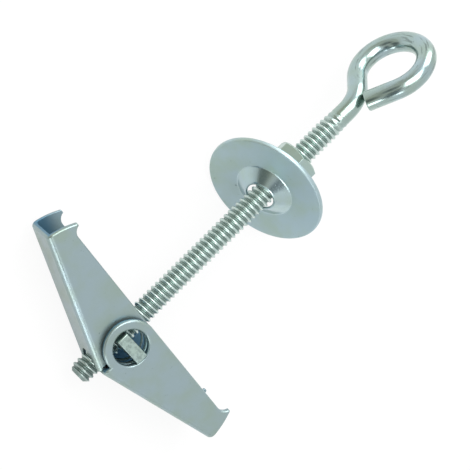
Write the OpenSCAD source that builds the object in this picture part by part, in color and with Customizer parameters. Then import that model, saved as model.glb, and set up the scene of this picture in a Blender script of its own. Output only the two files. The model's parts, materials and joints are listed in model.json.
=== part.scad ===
// Spring toggle bolt with a bent-wire eye, a dished washer and a hexagon nut.
// The bolt frame has its origin where the pivot line crosses the bolt's axis: X runs along the
// bolt toward the eye, Y points along the inner wing and Z is the pivot line of the wings.
// laid_down() turns that frame into the pose in which the bolt lies on a table at Z = 0.

/* [Eye bolt] */
// Diameter of the wire, which is also the pitch diameter of the rolled thread
wire_d = 3.9; // [3.6:0.05:4.1]
// Length of bolt beyond the pivot, on the side of the free end
tip_length = 10.5; // [9:0.1:14]
// Length of the end chamfer
tip_chamfer = 0.5; // [0.2:0.1:1]
// Distance from the pivot to the corner of the neck's bend
neck_at = 63.1; // [60:0.1:70]
// Bend radius of the neck, to the middle of the wire
neck_radius = 6.0; // [5:0.1:7]
// Angle between the bolt's axis and the straight part of the neck
neck_angle = 55.2; // [50:0.1:60]
// Length from the neck's corner to the start of the eye's round part
neck_length = 6.5; // [6:0.1:8]
// Radius of the eye, to the middle of the wire
eye_radius = 6.95; // [6.5:0.05:7.5]
// How far round the eye the wire goes before its last straight leg
eye_sweep = 262; // [255:1:265]
// Length of the last straight leg, whose cut end stops short of the neck
leg_length = 6.3; // [5:0.1:6.4]
// Turn of the eye's plane about the bolt's axis
eye_turn = 11; // [-30:1:30]
// Lean of the eye's plane against the bolt's axis
eye_lean = 7.8; // [0:0.1:12]

/* [Wings] */
// Thickness of the sheet
sheet = 0.9; // [0.7:0.05:1]
// Width over the inner wing's two sides
inner_width = 9.2; // [8.9:0.1:9.3]
// Width over the outer wing's two sides
outer_width = 12.1; // [12:0.1:14]
// Shift of the inner wing along the pivot, within its play
inner_shift = 0.5; // [0.4:0.05:0.6]
// Shift of the outer wing along the pivot, within its play
outer_shift = 0.6; // [0:0.05:0.6]
// Distance from the pivot to the web's outer face, at the end beside the bolt
web_depth = 7.25; // [6.9:0.05:8]
// Angle of the web against a square cross
web_slope = 16.6; // [14:0.1:18]
// Distance from the pivot to the inner wing's tip corner, across the bolt
inner_length = 27.4; // [24:0.1:30]
// Distance from the pivot to the outer wing's tip corner, across the bolt
outer_length = 26.5; // [24:0.1:30]
// Radius of the ear, which is also the distance from the pivot to the open edge
ear_radius = 5.35; // [5.2:0.05:5.6]
// Outer radius of the folds between web and sides
fold_radius = 1.25; // [1.1:0.05:1.5]
// How far the hooked spurs stand out past the ears
spur_rise = 1.5; // [1:0.05:2]
// Radius of the hollow beside each spur
hook_radius = 1.75; // [1.2:0.05:2.2]
// Distance from the tip corner back to the middle of the hollow
hook_back = 4.1; // [3.8:0.1:4.6]
// How far the open edge leans out between the ear and the hollow
edge_lean = 0.1; // [0:0.05:0.3]
// Radius of the slightly bowed tip edge
tip_bow = 16.6; // [16:0.1:40]
// Diameter of the pivot holes in the ears
pivot_hole_d = 7.0; // [6.9:0.05:7.4]
// How far the inner wing's web runs on past the pivot line, where it meets the other web
inner_overrun = 0.45; // [0:0.05:0.5]
// How far the outer wing's web stops short of the pivot line
outer_stop = 0.45; // [0.45:0.05:1]
// Radius of the notch in the web's end, round the bolt
notch_radius = 2.75; // [2.5:0.05:3.2]
// Turn of the open pair of wings about the pivot
pair_turn = 3.4; // [0:0.1:4]

/* [Cross nut] */
// Length of the cross nut along the pivot
cross_length = 13.6; // [13:0.1:15.5]
// Distance from the bolt's axis to the middle of the cross nut's length
cross_shift = 0.6; // [0:0.05:0.8]
// Width of the cross nut
cross_width = 6.3; // [6:0.05:6.4]
// Thickness of the cross nut along the bolt
cross_thick = 2.4; // [2:0.1:2.6]

/* [Spring] */
// Diameter of the spring wire
spring_wire = 0.4; // [0.3:0.05:0.4]
// Rise of the spring's single turn along the pivot
spring_pitch = 0.42; // [0.41:0.01:0.45]
// Reach of the spring's legs along the webs
spring_reach = 10; // [8:0.5:14]

/* [Washer] */
// Outer diameter of the dished washer
washer_d = 23.9; // [22:0.1:26]
// Thickness of the washer
washer_t = 0.9; // [0.8:0.05:1]
// Diameter of the washer's hole at its narrowest
washer_hole_d = 5.45; // [5.4:0.05:6]
// Diameter of the raised cone at its foot
cone_d = 11.4; // [10:0.1:13]
// Height of the raised cone above the rim
cone_height = 1.8; // [1.5:0.1:2.5]
// Distance from the pivot to the middle of the washer's hole, along the bolt
washer_at = 37.1; // [36:0.1:40]
// Tilt of the loose washer against the bolt
washer_tilt = 31.6; // [30:0.1:32]
// Direction in which the washer tilts, about the bolt's axis
washer_roll = 17.3; // [0:0.1:25]

/* [Hexagon nut] */
// Width across the flats
nut_flats = 7.9; // [7.8:0.05:8.5]
// Thickness of the nut
nut_t = 4.2; // [3.5:0.1:4.5]
// Distance from the pivot to the nut's far face
nut_end = 47.9; // [47:0.1:52]
// Diameter of the flat on each face of the nut, inside the turned-off corners
nut_face_d = 7.1; // [6.9:0.1:7.7]
// Turn of the nut about the bolt's axis
nut_turn = 39; // [0:0.1:59.9]

/* [Lying pose] */
// Slope of the bolt, which rises from the wings toward the eye
lie_slope = 8.77; // [0:0.01:12]
// Roll of the bolt about its own axis
lie_roll = 1.45; // [-10:0.01:10]
// Height of the pivot point above the table
lie_height = 6.39; // [5:0.01:9]
// Shift along the table that centres the part over the origin
lie_shift_x = -35.05; // [-45:0.01:-25]
// Shift across the table that centres the part over the origin
lie_shift_y = -0.37; // [-5:0.01:5]

/* [Hidden] */
$fn = 96;
// facets of a bent wire's section, and of the whole circle that the bowed tip edges are cut from
wire_facets = 48;
bow_facets = 240;
zinc = [0.66, 0.71, 0.71];
zinc_dark = [0.52, 0.57, 0.56];
steel = [0.42, 0.45, 0.47];
// radial running clearance of the nuts on the bolt
play = 0.04;
bore_d = wire_d + 2 * play;
// the rolled thread's crests stand this far out of the pitch surface
crest = 0.35;
// bent wire is this much stouter than straight wire, which laps this far into each bend
bend_swell = 0.02;
bend_lap = 0.15;

// ---- the lying pose ----

module laid_down() {
    translate([lie_shift_x, lie_shift_y, lie_height])
        rotate([0, -lie_slope, 0])
            rotate([lie_roll, 0, 0])
                children();
}

// A child that stands along Z is laid along X
module along_x() {
    rotate([0, 90, 0]) children();
}

// ---- eye bolt ----

// Unit vectors of the eye's plane: eye_n is its normal, eye_u runs toward the far end
eye_n = [sin(eye_lean), cos(eye_lean) * cos(eye_turn), cos(eye_lean) * sin(eye_turn)];
eye_raw = [1, 0, 0] - eye_n[0] * eye_n;
eye_u = eye_raw / norm(eye_raw);
eye_v = cross(eye_n, eye_u);

neck_dir = cos(neck_angle) * eye_u + sin(neck_angle) * eye_v;
neck_turn = acos(neck_dir[0]);
neck_tangent = neck_radius * tan(neck_turn / 2);
bend_at = neck_at - neck_tangent;
neck_roll = atan2(neck_dir[2], neck_dir[1]);

eye_start = [neck_at, 0, 0] + neck_length * neck_dir;
eye_centre = eye_start + eye_radius * (sin(neck_angle) * eye_u - cos(neck_angle) * eye_v);
leg_angle = neck_angle + 90 - eye_sweep;

// Places a child drawn in an XY plane, with Z up, into the eye's own plane
module in_eye_plane() {
    multmatrix([
        [eye_u[0], eye_v[0], eye_n[0], eye_centre[0]],
        [eye_u[1], eye_v[1], eye_n[1], eye_centre[1]],
        [eye_u[2], eye_v[2], eye_n[2], eye_centre[2]],
        [0, 0, 0, 1]
    ])
        children();
}

// An arc of round wire in the XY plane, about Z, from one angle through a sweep
module bent_wire(radius, from, sweep, wire) {
    rotate([0, 0, from])
        rotate_extrude(angle = sweep)
            translate([radius, 0])
                circle(d = wire, $fn = wire_facets);
}

// A straight length of round wire along X from the origin, with a lap into the bend at either end
module straight_wire(length, start_lap, end_lap, wire) {
    translate([-start_lap, 0, 0])
        along_x() cylinder(d = wire, h = length + start_lap + end_lap);
}

module shank() {
    translate([-tip_length, 0, 0])
        along_x() {
            cylinder(d1 = wire_d - 2 * tip_chamfer, d2 = wire_d, h = tip_chamfer);
            translate([0, 0, tip_chamfer])
                cylinder(d = wire_d, h = bend_at + tip_length - tip_chamfer + bend_lap);
        }
}

// The bend out of the bolt's axis and the straight wire that leads from it to the eye
module neck() {
    rotate([neck_roll, 0, 0]) {
        translate([bend_at, neck_radius, 0])
            bent_wire(neck_radius, -90, neck_turn, wire_d + bend_swell);
        translate([neck_at, 0, 0])
            rotate([0, 0, neck_turn])
                translate([neck_tangent, 0, 0])
                    straight_wire(neck_length - neck_tangent, bend_lap, bend_lap, wire_d);
    }
}

module eye_loop() {
    in_eye_plane() {
        bent_wire(eye_radius, leg_angle, eye_sweep, wire_d + bend_swell);
        rotate([0, 0, leg_angle])
            translate([eye_radius, 0, 0])
                rotate([0, 0, -90])
                    straight_wire(leg_length, bend_lap, 0, wire_d);
    }
}

module eye_bolt() {
    color(zinc_dark)
        laid_down() {
            shank();
            neck();
            eye_loop();
        }
}

// ---- hexagon nut ----

// A hexagon with both faces' corners turned off at 30 degrees
module hex_blank() {
    corner_d = nut_flats / cos(30);
    grow = nut_t / tan(30);
    intersection() {
        cylinder(d = corner_d, h = nut_t, $fn = 6);
        cylinder(d1 = nut_face_d, d2 = nut_face_d + 2 * grow, h = nut_t);
        translate([0, 0, nut_t])
            mirror([0, 0, 1])
                cylinder(d1 = nut_face_d, d2 = nut_face_d + 2 * grow, h = nut_t);
    }
}

module hex_nut() {
    color(zinc)
        laid_down()
            translate([nut_end - nut_t, 0, 0])
                rotate([nut_turn, 0, 0])
                    along_x()
                        difference() {
                            hex_blank();
                            translate([0, 0, -1])
                                cylinder(d = bore_d, h = nut_t + 2);
                        }
}

// ---- dished washer ----

// Half section of the washer; Y is along its axis, with the rim's back face at Y = 0
module washer_section() {
    hole = washer_hole_d / 2;
    foot = cone_d / 2;
    top = cone_height + washer_t;
    rim = washer_d / 2;
    edge = 0.15;
    lip = 0.12;
    // the cone's wall leans, so its inner skin lies outside the hole and inside the foot
    inner_start = 0.45;
    inner_foot = 0.25;
    brim = 0.4;
    polygon([
        [hole, top - lip],
        [hole + inner_start, top - washer_t + lip],
        [foot - inner_foot, 0],
        [rim - edge, 0],
        [rim, edge],
        [rim, washer_t - edge],
        [rim - edge, washer_t],
        [foot, washer_t],
        [hole + brim, top],
        [hole + lip, top]
    ]);
}

module dished_washer() {
    color(zinc)
        laid_down()
            translate([washer_at, 0, 0])
                rotate([-washer_roll, 0, 0])
                    rotate([0, washer_tilt, 0])
                        translate([cone_height + washer_t, 0, 0])
                            rotate([0, -90, 0])
                                rotate_extrude(angle = 360)
                                    washer_section();
}

// ---- cross nut ----

module cross_nut() {
    color(zinc)
        laid_down()
            difference() {
                translate([0, 0, cross_shift])
                    cube([cross_thick, cross_width, cross_length], center = true);
                translate([-cross_thick, 0, 0])
                    along_x() cylinder(d = bore_d, h = 2 * cross_thick);
            }
}

// ---- wings ----

// The web's outer face, as a function of the distance from the pivot
function web_x(y) = -web_depth + y * tan(web_slope);

// Outline of a side: the ear, the open edge with its hooked spur and the tip, cut square to the web
module side_outline(wing_length, web_start) {
    spur_x = ear_radius + spur_rise;
    edge_x = ear_radius + edge_lean;
    hook_y = wing_length - hook_back;
    past_tip = wing_length + spur_x;
    chord_run = (spur_x - web_x(wing_length)) / 2;
    chord_mid = [web_x(wing_length) + chord_run, wing_length - chord_run * tan(web_slope)];
    bow_back = sqrt(pow(tip_bow, 2) - pow(chord_run / cos(web_slope), 2));
    difference() {
        union() {
            circle(r = ear_radius);
            intersection() {
                translate(chord_mid - bow_back * [sin(web_slope), cos(web_slope)])
                    circle(r = tip_bow, $fn = bow_facets);
                polygon([
                    [web_x(web_start), web_start],
                    [web_x(past_tip), past_tip],
                    [spur_x, past_tip],
                    [spur_x, hook_y],
                    [edge_x, hook_y],
                    [ear_radius, 0]
                ]);
            }
        }
        circle(d = pivot_hole_d);
        translate([edge_x + hook_radius, hook_y])
            circle(r = hook_radius);
    }
}

// A square-ended U with rounded outer corners, open toward +X, with its web's face on X = 0
module rounded_u(half, radius, depth) {
    translate([radius, -half])
        square([depth, 2 * half]);
    translate([0, radius - half])
        square([depth, 2 * half - 2 * radius]);
    for (side = [-1, 1])
        translate([radius, side * (half - radius)])
            circle(r = radius);
}

module fold_section(width) {
    depth = 2 * web_depth;
    difference() {
        rounded_u(width / 2, fold_radius, depth);
        translate([sheet, 0])
            rounded_u(width / 2 - sheet, fold_radius - sheet, depth);
    }
}

// A wing along +Y: the folded sheet, cut to the side's outline and notched round the bolt
module wing(width, wing_length, web_start) {
    run = wing_length + 2 * web_depth;
    difference() {
        intersection() {
            translate([0, 0, -width / 2 - 1])
                linear_extrude(height = width + 2)
                    side_outline(wing_length, web_start);
            translate([-web_depth, 0, 0])
                rotate([0, 0, -web_slope])
                    translate([0, run - web_depth, 0])
                        rotate([90, 0, 0])
                            linear_extrude(height = run)
                                fold_section(width);
        }
        translate([-2 * web_depth, 0, 0])
            along_x() cylinder(r = notch_radius, h = 1.5 * web_depth);
    }
}

module inner_wing() {
    color(zinc)
        laid_down()
            rotate([0, 0, -pair_turn])
                translate([0, 0, inner_shift])
                    wing(inner_width, inner_length, -inner_overrun);
}

module outer_wing() {
    color(zinc)
        laid_down()
            rotate([0, 0, -pair_turn])
                translate([0, 0, outer_shift])
                    mirror([0, 1, 0])
                        wing(outer_width, outer_length, outer_stop);
}

// ---- torsion spring ----

// The spring passes between the cross nut and the inner wing's ears, with one turn on each side
coil_r = norm([cross_thick, cross_width]) / 2 + 0.1 + spring_wire / 2;
coil_z = wire_d / 2 + crest + 0.03 + spring_wire / 2;

// End of a leg, on the line that the wire would follow along a web's inner face
web_gap = sheet + spring_wire / 2 + 0.03;
leg_end = [
    -web_depth + spring_reach * sin(web_slope) + web_gap * cos(web_slope),
    spring_reach * cos(web_slope) - web_gap * sin(web_slope)
];
leg_run = sqrt(pow(norm(leg_end), 2) - pow(coil_r, 2));
leg_start = atan2(leg_end[1], leg_end[0]) + acos(coil_r / norm(leg_end));
turn_lean = atan(spring_pitch / 4 / coil_r);
// the wire of the half turns and legs, which laps into the short flat arcs between them
spring_core = spring_wire - 0.02;
spring_lap = 0.1;
turn_lap = 1.2;
turn_gap = 0.5;

// Half a turn on one side of the coil, leaning so that it rises by half a pitch. It laps into the
// flat arc at 180 degrees and stops just short of 0 degrees, where a bead joins the two halves
module half_turn(side, level) {
    sweep = 180 + turn_lap - turn_gap;
    translate([0, 0, level])
        rotate([0, -side * turn_lean, 0])
            bent_wire(coil_r, side > 0 ? turn_gap : 180 - turn_lap, sweep, spring_core);
}

// A leg that runs on from the turn to its end on a web
module spring_leg(level) {
    rotate([0, 0, leg_start])
        translate([coil_r, 0, level])
            rotate([0, 0, -90])
                straight_wire(leg_run, spring_lap, 0, spring_core);
}

// One turn with its two legs: the outer wing's leg comes in low, the inner wing's leaves high
module torsion_side() {
    top = coil_z + spring_pitch;
    flat_sweep = 180 - leg_start;
    mirror([0, 1, 0])
        spring_leg(coil_z);
    translate([0, 0, coil_z])
        bent_wire(coil_r, 180, flat_sweep, spring_wire);
    half_turn(1, coil_z + spring_pitch / 4);
    translate([coil_r, 0, coil_z + spring_pitch / 2])
        sphere(d = spring_wire);
    half_turn(-1, top - spring_pitch / 4);
    translate([0, 0, top])
        bent_wire(coil_r, leg_start, flat_sweep, spring_wire);
    spring_leg(top);
}

module torsion_spring() {
    color(steel)
        laid_down()
            rotate([0, 0, -pair_turn]) {
                for (side = [0, 1])
                    mirror([0, 0, side])
                        torsion_side();
                // the bridge that joins the legs across the outer wing's web
                translate([leg_end[0], -leg_end[1], -coil_z])
                    cylinder(d = spring_core, h = 2 * coil_z);
                for (side = [-1, 1])
                    translate([leg_end[0], -leg_end[1], side * coil_z])
                        sphere(d = spring_wire);
            }
}

eye_bolt();
hex_nut();
dished_washer();
cross_nut();
torsion_spring();
inner_wing();
outer_wing();
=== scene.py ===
import json
import math

import bmesh
import bpy
from mathutils import Matrix, Vector

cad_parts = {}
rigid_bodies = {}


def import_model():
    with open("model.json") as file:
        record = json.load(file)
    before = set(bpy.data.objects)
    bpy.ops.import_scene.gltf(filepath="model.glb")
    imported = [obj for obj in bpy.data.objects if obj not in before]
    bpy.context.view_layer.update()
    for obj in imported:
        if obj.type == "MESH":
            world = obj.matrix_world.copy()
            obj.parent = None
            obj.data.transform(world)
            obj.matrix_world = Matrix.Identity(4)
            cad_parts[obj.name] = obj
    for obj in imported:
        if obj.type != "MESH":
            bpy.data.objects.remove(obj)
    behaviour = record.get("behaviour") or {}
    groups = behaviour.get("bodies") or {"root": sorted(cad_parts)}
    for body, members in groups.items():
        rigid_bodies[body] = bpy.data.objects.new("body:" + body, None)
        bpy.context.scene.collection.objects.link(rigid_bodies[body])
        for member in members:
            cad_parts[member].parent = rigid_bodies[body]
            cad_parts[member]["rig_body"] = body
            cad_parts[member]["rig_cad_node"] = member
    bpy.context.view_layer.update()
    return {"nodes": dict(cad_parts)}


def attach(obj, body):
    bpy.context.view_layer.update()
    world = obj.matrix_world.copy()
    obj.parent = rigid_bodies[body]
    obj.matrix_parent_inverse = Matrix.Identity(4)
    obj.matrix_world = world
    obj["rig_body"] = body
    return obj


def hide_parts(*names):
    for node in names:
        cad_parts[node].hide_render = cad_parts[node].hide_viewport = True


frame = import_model()

mm = 0.001
tiny = 0.001 * mm  # points closer than this are one

# Each piece is made in the bolt's own frame and then laid down on the floor with it.
# X runs along the bolt toward the eye, Y toward the inner wing's tip, and Z is the pivot line.
lying = {
    "slope": 8.77,  # degrees that the bolt rises toward the eye
    "roll": 1.45,  # degrees about its own axis
    "pivot": (-35.05, -0.37, 6.39),  # mm, where the wings' pivot line crosses the bolt
}
layDown = (
    Matrix.Translation(Vector(lying["pivot"]) * mm)
    @ Matrix.Rotation(math.radians(-lying["slope"]), 4, "Y")
    @ Matrix.Rotation(math.radians(lying["roll"]), 4, "X")
)


def selectOnly(piece):
    bpy.ops.object.select_all(action="DESELECT")
    piece.select_set(True)
    bpy.context.view_layer.objects.active = piece


def openForEditing(piece):
    # opens a piece with all of its mesh selected
    selectOnly(piece)
    bpy.ops.object.mode_set(mode="EDIT")
    bpy.ops.mesh.select_mode(type="VERT")
    bpy.ops.mesh.select_all(action="SELECT")


def closeEditing():
    bpy.ops.object.mode_set(mode="OBJECT")


def pickEdges(piece, test):
    # selects the edges that pass a test, and nothing else
    bpy.ops.mesh.select_mode(type="EDGE")
    bpy.ops.mesh.select_all(action="DESELECT")
    mesh = bmesh.from_edit_mesh(piece.data)
    for edge in mesh.edges:
        if test(edge):
            edge.select_set(True)
    mesh.select_flush_mode()
    bmesh.update_edit_mesh(piece.data)


def cutThrough(place, normal, **settings):
    # cuts all of the open mesh by a plane
    bpy.ops.mesh.select_all(action="SELECT")
    bpy.ops.mesh.bisect(plane_co=place, plane_no=normal, threshold=0.1 * tiny, **settings)


def applyModifier(piece, kind, **settings):
    selectOnly(piece)
    made = piece.modifiers.new(kind.title(), kind)
    for name, value in settings.items():
        setattr(made, name, value)
    bpy.ops.object.modifier_apply(modifier=made.name)


def drawLine(name, points):
    # an open line of points, pulled out of one another from a plane merged to a point
    bpy.ops.object.select_all(action="DESELECT")
    bpy.ops.mesh.primitive_plane_add(size=mm, location=(0, 0, 0))
    piece = bpy.context.object
    piece.name = name
    openForEditing(piece)
    bpy.ops.mesh.merge(type="CENTER")
    here = Vector(points[0]) * mm
    bpy.ops.transform.translate(value=here)
    for point in points[1:]:
        there = Vector(point) * mm
        bpy.ops.mesh.extrude_vertices_move(TRANSFORM_OT_translate={"value": there - here})
        here = there
    closeEditing()
    return piece


def sharpen(piece, angle):
    # smooth shading that keeps flat faces flat and real edges crisp
    selectOnly(piece)
    bpy.ops.object.shade_smooth_by_angle(angle=math.radians(angle))
    applyModifier(piece, "WEIGHTED_NORMAL", keep_sharp=True, weight=80)


def hangOn(piece, body, slotName, *nodes):
    # lays a finished piece down with its place in its mesh, and ties it to its body
    selectOnly(piece)
    piece.matrix_world = layDown @ piece.matrix_world
    bpy.ops.object.transform_apply(location=True, rotation=True, scale=True)
    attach(piece, body)
    if nodes:
        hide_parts(*nodes)


def copyNode(nodeName, name):
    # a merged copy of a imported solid, brought into the bolt's own frame
    selectOnly(frame["nodes"][nodeName])
    bpy.ops.object.duplicate()
    piece = bpy.context.object
    piece.name = name
    piece.parent = None
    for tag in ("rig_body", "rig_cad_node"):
        del piece[tag]
    piece.matrix_world = layDown.inverted()
    bpy.ops.object.transform_apply(location=True, rotation=True, scale=True)
    openForEditing(piece)
    bpy.ops.mesh.remove_doubles(threshold=2 * tiny)
    bpy.ops.mesh.dissolve_limited(angle_limit=math.radians(0.4))
    closeEditing()
    return piece


eyeBolt = {
    "tip": -10.5,  # mm along the bolt from the pivot
    "threadsPerInch": 24,
    "crest": 2.28,  # radius over the thread
    "root": 1.8,
    "wire": 1.95,  # radius of the plain wire
    "chamfer": 1.45,  # radius that the end is turned down to
    "threadEnd": 54.6,  # where the thread starts to run out
    "runOut": 4.2,
    "threadSteps": 40,  # round one turn of the thread
    "neckAt": 63.1,  # corner of the neck's bend
    "neckRadius": 6.0,
    "neckAngle": 55.2,  # degrees in the eye's plane
    "neckLength": 6.5,
    "neckSteps": 14,
    "eyeRadius": 6.95,
    "eyeSweep": 262,  # degrees that the wire goes round the eye
    "eyeSteps": 88,
    "eyeTurn": 11,  # degrees that the eye is turned about the bolt
    "eyeLean": 7.8,  # degrees that it leans out of the bolt's line
    "legLength": 6.3,
    "cutEdge": 0.22,  # rounding of the sheared end
    "cutSize": 0.92,  # the end's size against the wire's
    "smoothAngle": 44,  # degrees, past which an edge looks sharp
    "darkTo": 1,  # from the tip
    "evenFrom": 5,
    "marked": (65, 68),  # where the drawing marks begin on the neck
}


def eyeFrame():
    # the eye's own axes in the bolt's frame: along the bolt, across it, and out of the eye's plane
    lean = math.radians(eyeBolt["eyeLean"])
    turn = math.radians(eyeBolt["eyeTurn"])
    upright = math.cos(lean)
    normal = Vector((math.sin(lean), upright * math.cos(turn), upright * math.sin(turn)))
    along = (Vector((1, 0, 0)) - normal.x * normal).normalized()
    return along, normal.cross(along), normal


def neckWay():
    # which way the wire runs from the neck to the eye
    eyeAlong, eyeAcross = eyeFrame()[:2]
    neckAngle = math.radians(eyeBolt["neckAngle"])
    return math.cos(neckAngle) * eyeAlong + math.sin(neckAngle) * eyeAcross


def eyeCentre():
    eyeAlong, eyeAcross = eyeFrame()[:2]
    neckAngle = math.radians(eyeBolt["neckAngle"])
    toCentre = math.sin(neckAngle) * eyeAlong - math.cos(neckAngle) * eyeAcross
    eyeStart = Vector((eyeBolt["neckAt"], 0, 0)) + neckWay() * eyeBolt["neckLength"]
    return eyeStart + toCentre * eyeBolt["eyeRadius"]


def legWay():
    # which way the last straight leg runs back toward the neck
    eyeAlong, eyeAcross = eyeFrame()[:2]
    legAngle = math.radians(eyeBolt["neckAngle"] + 90 - eyeBolt["eyeSweep"])
    return math.sin(legAngle) * eyeAlong - math.cos(legAngle) * eyeAcross


def bendWire(centre, axis, degrees, steps):
    # turns the open end of the wire round a centre; the operator counts its angle the other way
    bpy.ops.mesh.spin(steps=steps, angle=-math.radians(degrees), center=centre * mm, axis=axis)


def pushWire(length, way):
    bpy.ops.mesh.extrude_region_move(TRANSFORM_OT_translate={"value": way * length * mm})


def makeEyeBolt():
    pitch = 25.4 / eyeBolt["threadsPerInch"]
    root = eyeBolt["root"]
    crest = eyeBolt["crest"]
    start = eyeBolt["tip"] - 1.2 * pitch  # a little long, to be cut off square at the tip
    plainFrom = eyeBolt["threadEnd"] + eyeBolt["runOut"]
    # one rolled thread from root to root, as shares of its pitch, with a broad rounded crest
    flank = [
        (0, root),
        (0.08, root + 0.03),
        (0.16, root + 0.13),
        (0.3, crest - 0.13),
        (0.39, crest - 0.045),
        (0.45, crest - 0.012),
    ]
    line = []
    for share, radius in flank + [(0.5, crest)]:
        line.append((start + share * pitch, radius, 0))
    for share, radius in reversed(flank):
        line.append((start + (1 - share) * pitch, radius, 0))
    piece = drawLine("eyeBolt", line)
    applyModifier(
        piece,
        "SCREW",
        axis="X",
        angle=2 * math.pi,
        screw_offset=pitch * mm,
        iterations=math.ceil((plainFrom - start) / pitch) + 2,
        steps=eyeBolt["threadSteps"],
        render_steps=eyeBolt["threadSteps"],
        use_merge_vertices=False,
    )
    openForEditing(piece)
    bpy.ops.mesh.remove_doubles(threshold=2 * tiny)
    # the crests are turned down at the tip, and run out into the plain wire at the neck
    mesh = bmesh.from_edit_mesh(piece.data)
    for point in mesh.verts:
        along = point.co.x / mm
        radius = math.hypot(point.co.y, point.co.z) / mm
        fade = min(1, max(0, (along - eyeBolt["threadEnd"]) / eyeBolt["runOut"]))
        wanted = radius + (eyeBolt["wire"] - radius) * fade
        wanted = min(wanted, eyeBolt["chamfer"] + max(-0.5, along - eyeBolt["tip"]))
        point.co.y *= wanted / radius
        point.co.z *= wanted / radius
    bmesh.update_edit_mesh(piece.data)
    cutThrough((eyeBolt["tip"] * mm, 0, 0), (1, 0, 0), use_fill=True, clear_inner=True)
    # the open ring just past the thread is made round, to go on as the plain wire
    ringAt = plainFrom + 0.05
    cutThrough((ringAt * mm, 0, 0), (1, 0, 0), clear_outer=True)
    pickEdges(piece, lambda edge: edge.is_boundary and edge.verts[0].co.x > 0)
    mesh = bmesh.from_edit_mesh(piece.data)
    for point in mesh.verts:
        if point.select:
            radius = math.hypot(point.co.y, point.co.z) / mm
            point.co.y *= eyeBolt["wire"] / radius
            point.co.z *= eyeBolt["wire"] / radius
    bmesh.update_edit_mesh(piece.data)

    # the plain wire: the neck's bend, the eye's round and the last straight leg
    way = neckWay()
    neckTurn = math.acos(way.x)
    tangent = eyeBolt["neckRadius"] * math.tan(neckTurn / 2)
    sideWay = Vector((0, way.y, way.z)).normalized()
    bendAt = eyeBolt["neckAt"] - tangent
    pushWire(bendAt - ringAt, Vector((1, 0, 0)))
    bendWire(
        Vector((bendAt, 0, 0)) + sideWay * eyeBolt["neckRadius"],
        Vector((1, 0, 0)).cross(sideWay),
        math.degrees(neckTurn),
        eyeBolt["neckSteps"],
    )
    pushWire(eyeBolt["neckLength"] - tangent, way)
    bendWire(eyeCentre(), eyeFrame()[2], -eyeBolt["eyeSweep"], eyeBolt["eyeSteps"])
    pushWire(eyeBolt["legLength"] - eyeBolt["cutEdge"], legWay())
    pushWire(eyeBolt["cutEdge"], legWay())
    bpy.ops.transform.resize(value=[eyeBolt["cutSize"]] * 3)
    bpy.ops.mesh.edge_face_add()
    bpy.ops.mesh.select_all(action="SELECT")
    bpy.ops.mesh.normals_make_consistent(inside=False)
    closeEditing()
    bpy.ops.object.shade_smooth_by_angle(angle=math.radians(eyeBolt["smoothAngle"]))
    hangOn(piece, "bolt", "plated_wire", "eye_bolt")
    return piece


eyeBoltPiece = makeEyeBolt()
print("eye bolt made")


wings = {
    "sheet": 0.9,  # mm
    "dieRoll": 0.42,  # rounding of the edges on the sheet's outer side
    "burrEdge": 0.1,  # rounding of the edges on its inner side
    "bend": 1.25,  # outer radius of the folds
    "innerWidth": 9.2,
    "innerShift": 0.5,  # how far the wing's middle lies over the bolt's
    "outerWidth": 12.1,
    "outerShift": 0.6,
    "webFace": -6.95,  # from the pivot line to the web's outer face
    "webSlope": 16.6,  # degrees
    "pairTurn": 3.4,  # degrees that the folding pair is turned by
    "edgeAngle": 32,  # degrees, the flattest edge that is rounded
    "smoothAngle": 40,
}


def isStrayCut(edge):
    # an edge inside a flat face or across an end of the web, but not a cut through the pivot
    upright = all(abs(face.normal.z) < 0.01 for face in edge.link_faces)
    throughSheet = abs(edge.calc_length() - wings["sheet"] * mm) < 0.02 * mm
    flat = 5 if upright and not throughSheet else 0.3  # degrees
    if edge.calc_face_angle(0) > math.radians(flat):
        return False
    ends = [point.co for point in edge.verts]
    return not any(all(abs(end[axis]) < tiny for end in ends) for axis in (0, 1))


def makeWing(nodeName, name, body, width, shift):
    piece = copyNode(nodeName, name)
    openForEditing(piece)
    # two cuts through the pivot keep each ear's ring in simple sectors round its hole
    cutThrough((0, 0, 0), (1, 0, 0))
    cutThrough((0, 0, 0), (0, 1, 0))
    pickEdges(piece, isStrayCut)
    bpy.ops.mesh.dissolve_edges(use_verts=False, use_face_split=False)
    mesh = bmesh.from_edit_mesh(piece.data)
    weight = mesh.edges.layers.float.new("bevel_weight_edge")

    def isOuterSkin(face):
        level = face.calc_center_median().z / mm - shift
        onSideOrBend = level * face.normal.z > 0.02
        onWeb = face.normal.x < -0.9 and abs(level) < width / 2 - wings["bend"]
        return onSideOrBend or onWeb

    # the die rolls the outer skin's edges over, and leaves the inner skin's nearly sharp
    for edge in mesh.edges:
        if edge.calc_face_angle(0) > math.radians(wings["edgeAngle"]):
            rolled = any(isOuterSkin(face) for face in edge.link_faces)
            edge[weight] = 1.0 if rolled else wings["burrEdge"] / wings["dieRoll"]
    bmesh.update_edit_mesh(piece.data)
    closeEditing()
    applyModifier(
        piece,
        "BEVEL",
        limit_method="WEIGHT",
        width=wings["dieRoll"] * mm,
        segments=4,
        use_clamp_overlap=False,
    )
    sharpen(piece, wings["smoothAngle"])
    hangOn(piece, body, "plated_sheet", nodeName)
    return piece


innerSize = (wings["innerWidth"], wings["innerShift"])
outerSize = (wings["outerWidth"], wings["outerShift"])
innerWingPiece = makeWing("inner_wing", "innerWing", "wing_a", *innerSize)
outerWingPiece = makeWing("outer_wing", "outerWing", "wing_b", *outerSize)
print("wings made")


nuts = {
    "crossEdge": 0.22,  # mm, rounding of the cross nut's edges
    "hexEdge": 0.1,
    "edgeAngle": 24,  # degrees, the flattest edge that is rounded
    "smoothAngle": 40,
}


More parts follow.
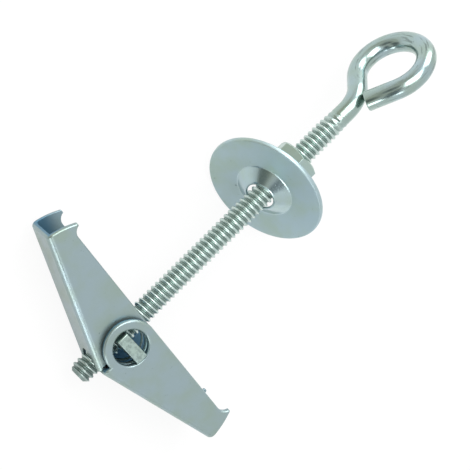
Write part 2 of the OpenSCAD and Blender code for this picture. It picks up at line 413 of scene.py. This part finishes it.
def makeNut(nodeName, name, body, edge):
    piece = copyNode(nodeName, name)
    applyModifier(
        piece,
        "BEVEL",
        limit_method="ANGLE",
        angle_limit=math.radians(nuts["edgeAngle"]),
        width=edge * mm,
        segments=3,
        use_clamp_overlap=True,
    )
    sharpen(piece, nuts["smoothAngle"])
    hangOn(piece, body, "plated_nut", nodeName)
    return piece


crossNutPiece = makeNut("cross_nut", "crossNut", "toggle_head", nuts["crossEdge"])
hexNutPiece = makeNut("hex_nut", "hexNut", "nut", nuts["hexEdge"])
print("nuts made")


washer = {
    "rim": 11.95,  # mm, outer radius
    "sheet": 0.9,
    "hole": 2.725,  # radius
    "foot": 5.7,  # radius of the cone's foot
    "rise": 1.8,  # height of the cone over the rim
    "steps": 144,
    "smoothAngle": 50,
    "at": 37.1,  # from the pivot to the middle of the hole
    "tilt": 31.6,  # degrees off square to the bolt
    "roll": 17.3,  # degrees that the tilt is turned about the bolt
}


def washerPlace():
    return (
        Matrix.Translation((washer["at"] * mm, 0, 0))
        @ Matrix.Rotation(math.radians(-washer["roll"]), 4, "X")
        @ Matrix.Rotation(math.radians(washer["tilt"]), 4, "Y")
    )


def makeWasher():
    hole = washer["hole"]
    foot = washer["foot"]
    rim = washer["rim"]
    sheet = washer["sheet"]
    top = washer["rise"] + sheet
    # half section, from the hole's lip down the inner skin, round the rim and back up
    outline = [
        (hole, top - 0.2),
        (hole + 0.03, top - 0.34),
        (hole + 0.45, washer["rise"] + 0.12),
        (foot - 0.75, 0.4),
        (foot - 0.4, 0.1),
        (foot + 0.1, 0),
        (rim - 0.16, 0),
        (rim - 0.05, 0.05),
        (rim, 0.16),
        (rim, sheet - 0.3),
        (rim - 0.04, sheet - 0.17),
        (rim - 0.13, sheet - 0.05),
        (rim - 0.28, sheet),
        (foot + 0.35, sheet),
        (foot + 0.12, sheet + 0.03),
        (foot - 0.1, sheet + 0.12),
        (hole + 0.62, top - 0.14),
        (hole + 0.42, top - 0.03),
        (hole + 0.22, top),
        (hole + 0.08, top - 0.05),
        (hole, top - 0.2),
    ]
    # the section stands in the XY plane, with X pointing from the cone's side to the back
    line = []
    for radius, height in outline:
        line.append((top - height, radius, 0))
    piece = drawLine("dishedWasher", line)
    applyModifier(
        piece,
        "SCREW",
        axis="X",
        angle=2 * math.pi,
        steps=washer["steps"],
        render_steps=washer["steps"],
        use_merge_vertices=True,
        merge_threshold=tiny,
    )
    openForEditing(piece)
    bpy.ops.mesh.remove_doubles(threshold=tiny)
    bpy.ops.mesh.normals_make_consistent(inside=False)
    closeEditing()
    piece.matrix_world = washerPlace()
    sharpen(piece, washer["smoothAngle"])
    hangOn(piece, "washer", "plated_sheet", "dished_washer")
    return piece


washerPiece = makeWasher()
print("washer made")


spring = {
    "wire": 0.2,  # mm, radius
    "coil": 3.671,  # radius of the turns
    "coilSteps": 64,
    "low": 2.53,  # height of the outer legs over the bolt's axis
    "pitch": 0.42,
    "reach": 10,  # of the legs along the webs
    "webDepth": 7.25,  # from the pivot to the web's outer face, along the bolt
    "gap": 0.03,  # between a leg and its web
    "wrap": 80,  # degrees of the turn that a leg starts in
    "wrapSteps": 16,
    "legShrink": 0.012,  # keeps a leg inside the turn that it starts in
    "smoothAngle": 50,
}


def legPlace():
    # where a leg ends on its web, and the angle at which it leaves the turn
    slope = math.radians(wings["webSlope"])
    gap = wings["sheet"] + spring["wire"] + spring["gap"]
    end = Vector((
        -spring["webDepth"] + spring["reach"] * math.sin(slope) + gap * math.cos(slope),
        spring["reach"] * math.cos(slope) - gap * math.sin(slope),
        0,
    ))
    leaves = math.atan2(end.y, end.x) + math.acos(spring["coil"] / end.length)
    return end, leaves


def springWire(name, points, thinner=0):
    # a round wire along a line of points, as a mesh with closed ends
    bpy.ops.object.select_all(action="DESELECT")
    bpy.ops.curve.primitive_bezier_curve_add(location=(0, 0, 0))
    piece = bpy.context.object
    piece.name = name
    piece.data.splines.clear()
    spline = piece.data.splines.new("POLY")
    spline.points.add(len(points) - 1)
    for k, point in enumerate(points):
        spline.points[k].co = (*(Vector(point) * mm), 1)
    piece.data.bevel_depth = (spring["wire"] - thinner) * mm
    piece.data.bevel_resolution = 3
    piece.data.use_fill_caps = True
    piece.data.dimensions = "3D"
    bpy.ops.object.convert(target="MESH")
    openForEditing(bpy.context.object)
    bpy.ops.mesh.remove_doubles(threshold=tiny)
    bpy.ops.mesh.normals_make_consistent(inside=False)
    closeEditing()
    bpy.ops.object.shade_smooth_by_angle(angle=math.radians(spring["smoothAngle"]))
    return bpy.context.object


def joinWires(parts, name):
    bpy.ops.object.select_all(action="DESELECT")
    for part in parts:
        part.select_set(True)
    bpy.context.view_layer.objects.active = parts[0]
    bpy.ops.object.join()
    piece = bpy.context.object
    piece.name = name
    return piece


def turned(point):
    return Matrix.Rotation(-math.radians(wings["pairTurn"]), 3, "Z") @ Vector(point)


def onCoil(angle, level):
    return turned((spring["coil"] * math.cos(angle), spring["coil"] * math.sin(angle), level))


def makeSpring():
    end, leaves = legPlace()
    sweep = 2 * math.pi + 2 * (math.pi - leaves)
    turns = []
    innerLegs = []
    outerLegs = []
    for side in (1, -1):
        # from the outer leg round past the eye's side to the inner leg, rising by one pitch
        line = []
        for k in range(spring["coilSteps"] + 1):
            share = k / spring["coilSteps"]
            angle = -leaves + sweep * share
            line.append(onCoil(angle, side * (spring["low"] + spring["pitch"] * share)))
        turns.append(springWire("turn", line))
        for group, way, level in (
            (innerLegs, 1, spring["low"] + spring["pitch"]),
            (outerLegs, -1, spring["low"]),
        ):
            # the first stretch lies in the turn, so that a folding wing draws it round
            line = []
            for k in range(spring["wrapSteps"] + 1):
                left = math.radians(spring["wrap"]) * (1 - k / spring["wrapSteps"])
                line.append(onCoil(way * (leaves + left), side * level))
            line.append(turned((end.x, way * end.y, side * level)))
            group.append(springWire("leg", line, spring["legShrink"]))
    bridge = []
    for share in (1, 0.5, 0, -0.5, -1):
        bridge.append(turned((end.x, -end.y, spring["low"] * share)))
    outerLegs.append(springWire("bridge", bridge, spring["legShrink"]))
    pieces = (
        (joinWires(turns, "springTurns"), "toggle_head", ["torsion_spring"]),
        (joinWires(innerLegs, "springInnerLegs"), "wing_a", []),
        (joinWires(outerLegs, "springOuterLegs"), "wing_b", []),
    )
    for piece, body, nodes in pieces:
        hangOn(piece, body, "spring_steel", *nodes)
    return [piece for piece, body, nodes in pieces]


springPieces = makeSpring()
print("spring made")


class Wired:
    # one shader socket; sums and products of these add the Math nodes
    def __init__(self, tree, socket=None):
        self.tree = tree
        self.socket = socket

    def node(self, kind, settings, sockets, out=0):
        made = self.tree.nodes.new("ShaderNode" + kind)
        for name, value in settings.items():
            setattr(made, name, value)
        for key, value in sockets.items():
            if isinstance(value, Wired):
                self.tree.links.new(value.socket, made.inputs[key])
            elif hasattr(made.inputs[key].default_value, "__len__") and len(value) == 3:
                size = len(made.inputs[key].default_value)
                made.inputs[key].default_value = (*value, 1)[:size]
            else:
                made.inputs[key].default_value = value
        return Wired(self.tree, made.outputs[out]) if made.outputs else None

    def math(self, operation, *values):
        return self.node("Math", {"operation": operation}, dict(enumerate(values)))

    def absolute(self):
        return self.math("ABSOLUTE", self)

    def __add__(self, other):
        return self.math("ADD", self, other)

    def __sub__(self, other):
        return self.math("SUBTRACT", self, other)

    def __rsub__(self, other):
        return self.math("SUBTRACT", other, self)

    def __mul__(self, other):
        return self.math("MULTIPLY", self, other)

    __radd__ = __add__
    __rmul__ = __mul__

    def mix(self, first, second):
        # a number that goes from the first to the second as this mask goes from 0 to 1
        return first + self * (second - first)

    def ramp(self, low, high, fromZero=0.0, toOne=1.0):
        # a smooth step from low to high
        settings = {"interpolation_type": "SMOOTHSTEP"}
        limits = {0: self, 1: low, 2: high, 3: fromZero, 4: toOne}
        return self.node("MapRange", settings, limits)

    def blend(self, first, second):
        # a colour that goes from the first to the second as this mask goes from 0 to 1
        settings = {"data_type": "RGBA"}
        return self.node("Mix", settings, {0: self, 6: first, 7: second}, 2)


def startMaterial(name):
    material = bpy.data.materials.new(name)
    material.use_nodes = True
    material.node_tree.nodes.clear()
    return material, Wired(material.node_tree)


def finishMaterial(start, surface):
    start.node("OutputMaterial", {}, {0: surface})


def dress(material, *pieces):
    for piece in pieces:
        piece.data.materials.clear()
        piece.data.materials.append(material)


zinc = {
    "plain": (0.325, 0.42, 0.45),  # bluish zinc plate, linear
    "green": (0.31, 0.4, 0.365),  # where the passivation is thicker
    "dark": (0.13, 0.17, 0.165),  # specks and handling marks
    "inside": (0.11, 0.23, 0.32),  # painted shade on a wing's inner skin, in its channel
    "thread": (0.49, 0.59, 0.56),  # rolled crests
    "root": (0.16, 0.23, 0.21),  # painted shade in the thread's roots
    "cloudSize": 5.0,  # mm
    "grainSize": 0.12,
    "speckSize": 0.9,
    "blotchSize": 0.8,
}


class Zinc:
    # one zinc finish: a cloudy tint, fine grain and a few dull specks, with more laid over it
    def __init__(self, name, roughness, grain, greener=0.0, brighter=1.0, metallic=1.0):
        self.material, self.start = startMaterial(name)
        self.grain = grain
        self.metallic = metallic
        self.place = self.start.node("TexCoord", {}, {}, 3)
        clouds = self.noise(self.place, 1 / (zinc["cloudSize"] * mm), 3)
        specks = self.noise(self.place, 1 / (zinc["speckSize"] * mm), 4, 0.65).ramp(0.66, 0.74)
        self.fine = self.noise(self.place, 1 / (zinc["grainSize"] * mm), 2, 0.6)
        plain = tuple(level * brighter for level in zinc["plain"])
        green = tuple(level * brighter for level in zinc["green"])
        tint = (clouds + greener).ramp(0.35, 0.75).blend(plain, green)
        self.colour = (specks * 0.6).blend(tint, zinc["dark"])
        self.roughness = (clouds - 0.5) * 0.1 + (self.fine - 0.5) * 0.08 + specks * 0.2 + roughness

    def noise(self, place, scale, detail, rough=0.5):
        sockets = {"Vector": place, "Scale": scale, "Detail": detail, "Roughness": rough}
        return self.start.node("TexNoise", {}, sockets)

    def vector(self, *parts):
        return self.start.node("CombineXYZ", {}, dict(enumerate(parts)))

    def inFrame(self, matrix):
        # x, y and z in mm in a frame laid over the piece
        where = {0: self.place, 1: tuple(matrix.translation), 2: tuple(matrix.to_euler())}
        where[3] = (mm, mm, mm)
        placed = self.start.node("Mapping", {"vector_type": "TEXTURE"}, where)
        return [self.start.node("SeparateXYZ", {}, {0: placed}, k) for k in range(3)]

    def lay(self, mask, colour, roughness=0.0):
        # lays another colour over the zinc where the mask is 1, and adds to the roughness there
        self.colour = mask.blend(self.colour, colour)
        self.roughness = mask * roughness + self.roughness

    def finish(self, *pieces):
        bump = {"Strength": 0.35, "Distance": self.grain * mm, "Height": self.fine}
        sockets = {"Base Color": self.colour, "Metallic": self.metallic, "Roughness": self.roughness}
        sockets["Normal"] = self.start.node("Bump", {}, bump)
        finishMaterial(self.start, self.start.node("BsdfPrincipled", {}, sockets))
        dress(self.material, *pieces)


def reach(first, second):
    # distance from an axis, from the two coordinates across it
    return first.math("SQRT", first * first + second * second)


def finishEyeBolt():
    wire = Zinc("zincWire", 0.2, 0.004, greener=0.1, brighter=1.05)
    along, across, above = wire.inFrame(layDown)
    # the rolled thread is duller than the drawn wire, and dullest in its roots, which also take
    # painted shade
    threaded = along.ramp(eyeBolt["threadEnd"], eyeBolt["threadEnd"] + eyeBolt["runOut"], 1.0, 0.0)
    rootShade = reach(across, above).ramp(eyeBolt["root"] + 0.05, eyeBolt["crest"] - 0.12, 1.0, 0.0)
    wire.metallic = 1.0 - threaded * 0.12
    wire.lay(threaded, zinc["thread"], 0.06)
    wire.lay(rootShade * threaded * 0.75, zinc["root"], 0.15)
    # the wire is darker toward the tip
    darkTo = eyeBolt["tip"] + eyeBolt["darkTo"]
    evenFrom = eyeBolt["tip"] + eyeBolt["evenFrom"]
    wire.lay(along.ramp(darkTo, evenFrom, 0.5, 0.0), zinc["dark"], 0.1)
    # drawing marks run round the eye, then straight along its last leg
    eyeNormal = eyeFrame()[2]
    eyePlace = Matrix((legWay(), eyeNormal.cross(legWay()), eyeNormal)).transposed().to_4x4()
    eyePlace.translation = eyeCentre() * mm
    ahead, aside, over = wire.inFrame(layDown @ eyePlace)
    onLeg = ahead.ramp(-0.1, 0.1) * aside.ramp(2.0, 3.0)
    # the angle is counted from the leg's start, with its jump in the eye's open quarter
    angle = ahead.math("ARCTAN2", ahead - aside, ahead * -1.0 - aside)
    around = (angle + 0.75 * math.pi) * -eyeBolt["eyeRadius"]
    far = onLeg.mix(reach(ahead, aside), aside)
    run = onLeg.mix(around, ahead)
    marks = wire.noise(wire.vector(far, run * 0.1, over), 2.4, 3, 0.6).ramp(0.56, 0.66)
    wire.lay(marks * along.ramp(*eyeBolt["marked"]) * 0.75, zinc["dark"], 0.1)
    wire.finish(eyeBoltPiece)


def finishWing(name, piece, side, width, shift):
    # side is 1 for the wing that points along Y and -1 for the other
    sheet = Zinc(name, 0.33, 0.006, brighter=0.87, metallic=0.85)
    turn = math.radians(wings["pairTurn"] + side * wings["webSlope"])
    depth, run, level = sheet.inFrame(layDown @ Matrix.Rotation(-turn, 4, "Z"))
    off = (level - shift).absolute()
    skin = wings["webFace"] + wings["sheet"] / 2
    # a wing's inner skin takes painted shade, strongest near the pivot and the web
    inside = off.ramp(width / 2 - 0.58, width / 2 - 0.33, 1.0, 0.0)
    inside = inside * depth.ramp(skin - 0.15, skin + 0.15)
    # the painted shade fades toward the open edge, away from the pivot
    lessShade = depth.ramp(-5.0, -2.0) * run.absolute().ramp(7.0, 12.0)
    sheet.lay(inside - inside * lessShade * 0.7, zinc["inside"], 0.05)
    sheet.finish(piece)


def finishWasher():
    # the drawn cone is smoother than the flat rim
    dish = Zinc("zincWasher", 0.44, 0.004, brighter=1.17)
    depth, aside, over = dish.inFrame(layDown @ washerPlace())
    cone = reach(aside, over).ramp(washer["foot"] - 0.1, washer["foot"] + 0.5, 1.0, 0.0)
    dish.roughness = cone * -0.22 + dish.roughness
    dish.finish(washerPiece)


def finishCrossNut():
    # the bar is blotched, from tumbling and from the wings' ears that rub on it
    bar = Zinc("zincBar", 0.3, 0.008, greener=0.2, brighter=1.27)
    blotches = bar.noise(bar.place, 1 / (zinc["blotchSize"] * mm), 5, 0.62).ramp(0.42, 0.62)
    bar.lay(blotches * 0.5, zinc["dark"], 0.12)
    bar.finish(crossNutPiece)


finishEyeBolt()
finishWing("zincInnerWing", innerWingPiece, 1, *innerSize)
finishWing("zincOuterWing", outerWingPiece, -1, *outerSize)
finishWasher()
finishCrossNut()
Zinc("zincNut", 0.3, 0.008, greener=0.2, brighter=1.2).finish(hexNutPiece)
Zinc("springSteel", 0.3, 0.003, greener=0.2, brighter=0.6).finish(*springPieces)
print("finishes made")


studio = {
    "floorSize": 6.0,  # m
    "floorShade": 0.1,  # share of the floor's white that a full shadow takes away
    "mirroredShade": 0.5,  # the same share where the metal mirrors the floor
    "paper": (0.8, 0.8, 0.8),
    "farGlow": 1.12,  # the mirrored floor on its far side
    "nearFloorShade": (0.64, 0.61, 0.52),  # and its painted shade on its near side
    "nearWay": 105,  # degrees, the way to its near side
    # tints of the room that the metal mirrors: a direction in degrees, how far round it the tint
    # is full and where it has gone, its strength and its colour
    "tints": (
        (118, 6, 40, 66, 1.0, (0.72, 0.7, 0.6)),
        (160, 50, 6, 14, 0.9, (0.1, 0.13, 0.14)),
        (188, 42, 9, 17, 0.95, (0.1, 0.13, 0.14)),
        (148, 14, 8, 20, 0.85, (0.1, 0.13, 0.14)),
        (113, 30, 6, 17, 0.75, (0.1, 0.13, 0.14)),
    ),
    # flat lamps: name, direction, width and height in degrees as seen from the bolt, brightness
    "lamps": (
        ("windowLamp", 20, 12, 36, 42, 3.2),
        ("highLamp", 57, 62, 42, 44, 4),
        ("stripLamp", -169, 17, 13, 30, 4.5),
        ("edgeLamp", -151, 50, 11, 14, 3.2),
    ),
    "lampDistance": 0.7,  # m
    "aim": (0, 0, 0.012),
    "lens": 186.146,  # mm
    "sensor": 36,
    "cameraAt": (-0.111451, 0.213351, 0.396064),
    "cameraBack": (-0.231037, 0.475582, 0.848790),
    "cameraUp": (0.732781, 0.658950, -0.169754),
}


def direction(azimuth, elevation):
    # azimuth counts from X toward Y and elevation up from the floor, both in degrees
    turn = math.radians(azimuth)
    rise = math.radians(elevation)
    level = math.cos(rise)
    return Vector((math.cos(turn) * level, math.sin(turn) * level, math.sin(rise)))


def makeWorld():
    world = bpy.data.worlds.new("room")
    bpy.context.scene.world = world
    world.use_nodes = True
    world.node_tree.nodes.clear()
    start = Wired(world.node_tree)
    way = start.node("TexCoord", {}, {}, 0)
    white = start.node("Background", {}, {0: (1, 1, 1), 1: 1.0})
    room = white
    for azimuth, elevation, inner, outer, strength, tint in studio["tints"]:
        sockets = {0: way, 1: direction(azimuth, elevation)}
        facing = start.node("VectorMath", {"operation": "DOT_PRODUCT"}, sockets, 1)
        mask = facing.ramp(math.cos(math.radians(outer)), math.cos(math.radians(inner)))
        tinted = start.node("Background", {}, {0: tint, 1: 1.0})
        room = start.node("MixShader", {}, {0: mask * strength, 1: room, 2: tinted})
    camera = start.node("LightPath", {}, {}, 0)
    shown = start.node("MixShader", {}, {0: camera, 1: room, 2: white})
    start.node("OutputWorld", {}, {0: shown})


def makeFloor():
    bpy.ops.object.select_all(action="DESELECT")
    bpy.ops.mesh.primitive_plane_add(size=studio["floorSize"], location=(0, 0, 0))
    floor = bpy.context.object
    floor.name = "floor"
    material, start = startMaterial("paperFloor")
    paper = start.node("BsdfDiffuse", {}, {0: studio["paper"]})
    glow = start.node("Emission", {}, {0: (1, 1, 1), 1: 1.0})
    lit = start.node("MixShader", {}, {0: studio["floorShade"], 1: glow, 2: paper})
    camera = start.node("LightPath", {}, {}, 0)
    glossy = start.node("LightPath", {}, {}, 3)
    # the mirrored floor takes painted shade on its near side, a little dimmer and greener there
    place = start.node("TexCoord", {}, {}, 3)
    nearWay = direction(studio["nearWay"], 0)
    nearSide = start.node("VectorMath", {"operation": "DOT_PRODUCT"}, {0: place, 1: nearWay}, 1)
    farPaper = start.node("Emission", {}, {0: (1, 1, 1), 1: studio["farGlow"]})
    nearPaperShade = start.node("Emission", {}, {0: studio["nearFloorShade"], 1: 1.0})
    glowing = start.node("MixShader", {}, {0: nearSide.ramp(0.0, 0.08), 1: farPaper, 2: nearPaperShade})
    mirrored = start.node("MixShader", {}, {0: studio["mirroredShade"], 1: glowing, 2: paper})
    seen = start.node("MixShader", {}, {0: glossy, 1: paper, 2: mirrored})
    surface = start.node("MixShader", {}, {0: camera, 1: seen, 2: lit})
    finishMaterial(start, surface)
    dress(material, floor)


def addLamp(name, azimuth, elevation, width, height, brightness):
    bpy.ops.object.select_all(action="DESELECT")
    distance = studio["lampDistance"]
    aim = Vector(studio["aim"])
    place = aim + direction(azimuth, elevation) * distance
    bpy.ops.object.light_add(type="AREA", location=place)
    lamp = bpy.context.object
    lamp.name = name
    lamp.data.shape = "RECTANGLE"
    lamp.data.size = 2 * distance * math.tan(math.radians(width / 2))
    lamp.data.size_y = 2 * distance * math.tan(math.radians(height / 2))
    lamp.data.energy = brightness * math.pi * lamp.data.size * lamp.data.size_y
    lamp.rotation_euler = (place - aim).to_track_quat("Z", "Y").to_euler()
    lamp.visible_camera = False


def makeCamera():
    back = Vector(studio["cameraBack"]).normalized()
    right = Vector(studio["cameraUp"]).cross(back).normalized()
    bpy.ops.object.camera_add(location=studio["cameraAt"])
    camera = bpy.context.object
    camera.rotation_euler = Matrix((right, back.cross(right), back)).transposed().to_euler()
    camera.data.sensor_width = studio["sensor"]
    camera.data.lens = studio["lens"]
    camera.data.clip_start = 0.01
    bpy.context.scene.camera = camera


makeWorld()
makeFloor()
for lampSettings in studio["lamps"]:
    addLamp(*lampSettings)
makeCamera()
bpy.context.scene.view_settings.view_transform = "Standard"
print("studio made")
